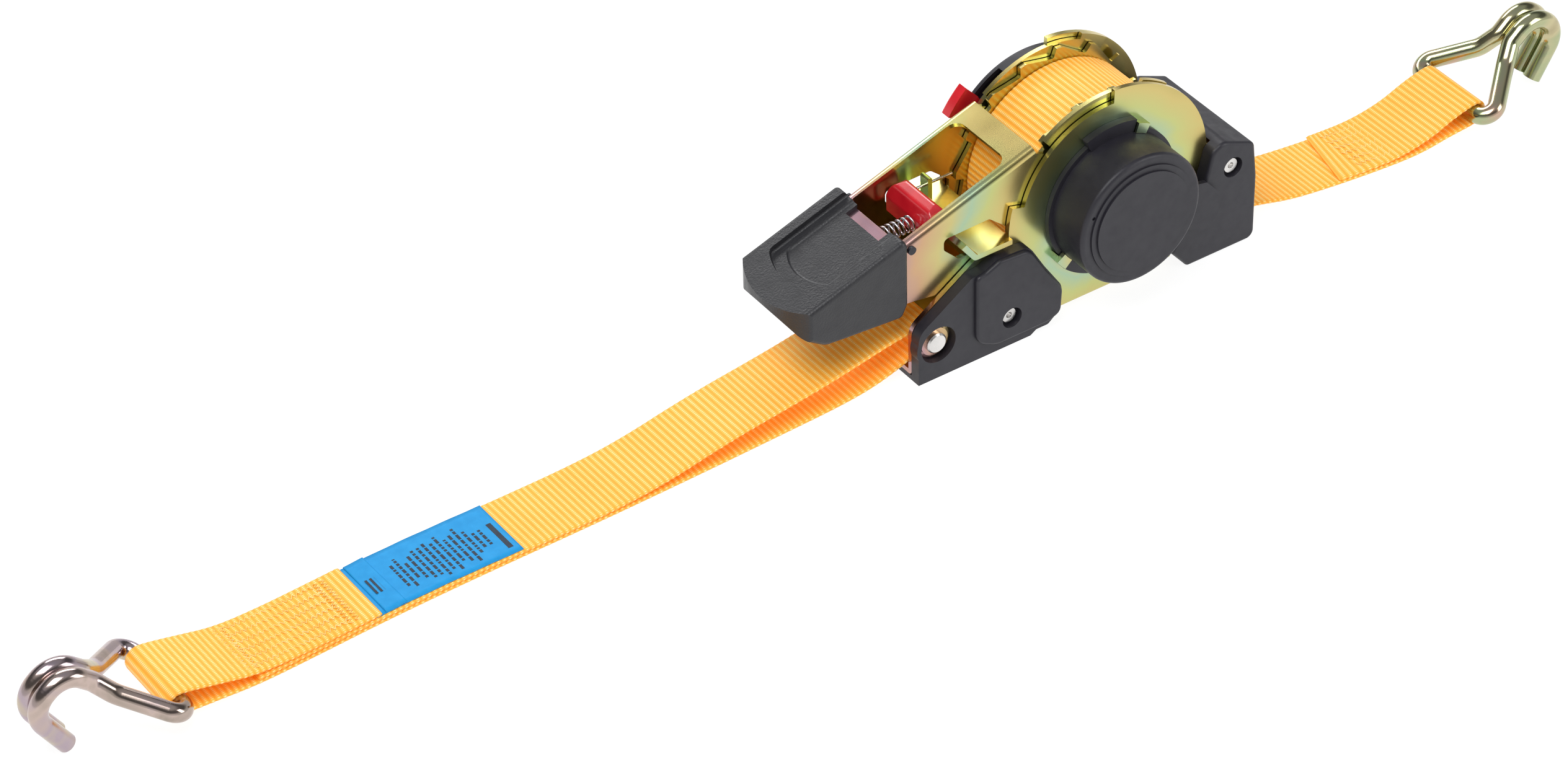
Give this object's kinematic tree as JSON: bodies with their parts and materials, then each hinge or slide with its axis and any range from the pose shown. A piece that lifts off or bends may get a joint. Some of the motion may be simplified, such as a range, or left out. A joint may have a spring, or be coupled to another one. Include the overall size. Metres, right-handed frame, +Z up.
{
  "type": "self-winding ratchet lashing strap",
  "caption": "Webbing lashing strap with a ratchet winder: lever handle, sliding drive pawl, toothed spool, spring drum, release lever and a double-J wire hook on each end.",
  "frame": {"origin": "straight below the anchor pin, on the underside of the front guard, which the ratchet body stands on", "axes": "+X along the strap towards the reel strap's hook, +Y across the webbing away from the recoil drum, +Z up"},
  "size_m": [0.5645, 0.0622, 0.076],
  "materials": {
    "yellow_zinc": "yellow chromated zinc",
    "hook_zinc": "chromated zinc",
    "bright_steel": "bright",
    "spring_steel": "bright",
    "black_plastic": "satin",
    "black_grip": "fine leather grain",
    "red_plastic": "gloss",
    "webbing": "woven polyester",
    "label": "coated cloth"
  },
  "bodies": {
    "frame": {"frame_channel": "yellow_zinc", "front_guard": "black_plastic", "rear_guard": "black_plastic", "guard_rivets": "bright_steel", "anchor_pin": "bright_steel", "anchor_washers": "yellow_zinc", "rear_spacer": "yellow_zinc", "rear_spacer_rivet": "bright_steel", "recoil_drum": "black_plastic", "drum_back_plate": "bright_steel", "winding_spring": "spring_steel", "release_housing": "black_plastic", "housing_screws": "bright_steel", "lock_springs": "spring_steel", "fixed_strap": "webbing", "strap_label": "label", "reel_strap": "webbing"},
    "handle": {"handle_plate": "yellow_zinc", "handle_grip": "black_grip", "grip_pegs": "black_plastic", "spring_seat": "yellow_zinc", "pawl_spring": "spring_steel"},
    "drive_pawl": {"drive_pawl": "yellow_zinc", "pawl_wire": "spring_steel", "pawl_trigger": "red_plastic"},
    "spool": {"mandrel_upper": "yellow_zinc", "mandrel_lower": "yellow_zinc", "ratchet_wheel_near": "yellow_zinc", "ratchet_wheel_far": "yellow_zinc", "webbing_roll": "webbing", "axle_clip": "spring_steel"},
    "lock_pawl": {"lock_pawl": "yellow_zinc"},
    "release_lever": {"release_lever": "red_plastic"},
    "hook_left": {"hook_left": "hook_zinc"},
    "hook_right": {"hook_right": "hook_zinc"}
  },
  "joints": [
    {"name": "handle_pivot", "type": "hinge", "parent": "frame", "child": "handle", "pos_m": [0.0671, 0, 0.038], "axis": [0, 1, 0], "range_deg": [0, 115]},
    {"name": "drive_pawl_slide", "type": "slide", "parent": "handle", "child": "drive_pawl", "axis": [-1, 0, 0], "range_m": [0, 0.003], "stiffness_N_per_m": 800, "springref_m": -0.003, "deforming": ["pawl_spring"]},
    {"name": "spool_spin", "type": "hinge", "parent": "frame", "child": "spool", "pos_m": [0.0671, 0, 0.038], "axis": [0, 1, 0], "continuous": true},
    {"name": "release_lever_turn", "type": "hinge", "parent": "frame", "child": "release_lever", "pos_m": [0.0671, 0, 0.038], "axis": [0, 1, 0], "range_deg": [0, 12]},
    {"name": "lock_pawl_slide", "type": "slide", "parent": "frame", "child": "lock_pawl", "axis": [0.7046, 0, 0.7096], "range_m": [0, 0.0031]},
    {"name": "hook_left_swing", "type": "hinge", "parent": "frame", "child": "hook_left", "pos_m": [-0.2654, -0.01, 0.007], "axis": [0, 1, 0], "range_deg": [0, 90]},
    {"name": "hook_right_swing", "type": "hinge", "parent": "frame", "child": "hook_right", "pos_m": [0.2141, -0.0078, 0.007], "axis": [0, -1, 0], "range_deg": [0, 90]}
  ],
  "couplings": [
    {"joint": "lock_pawl_slide", "follows": "release_lever_turn", "m_per_rad": 0.0148}
  ]
}
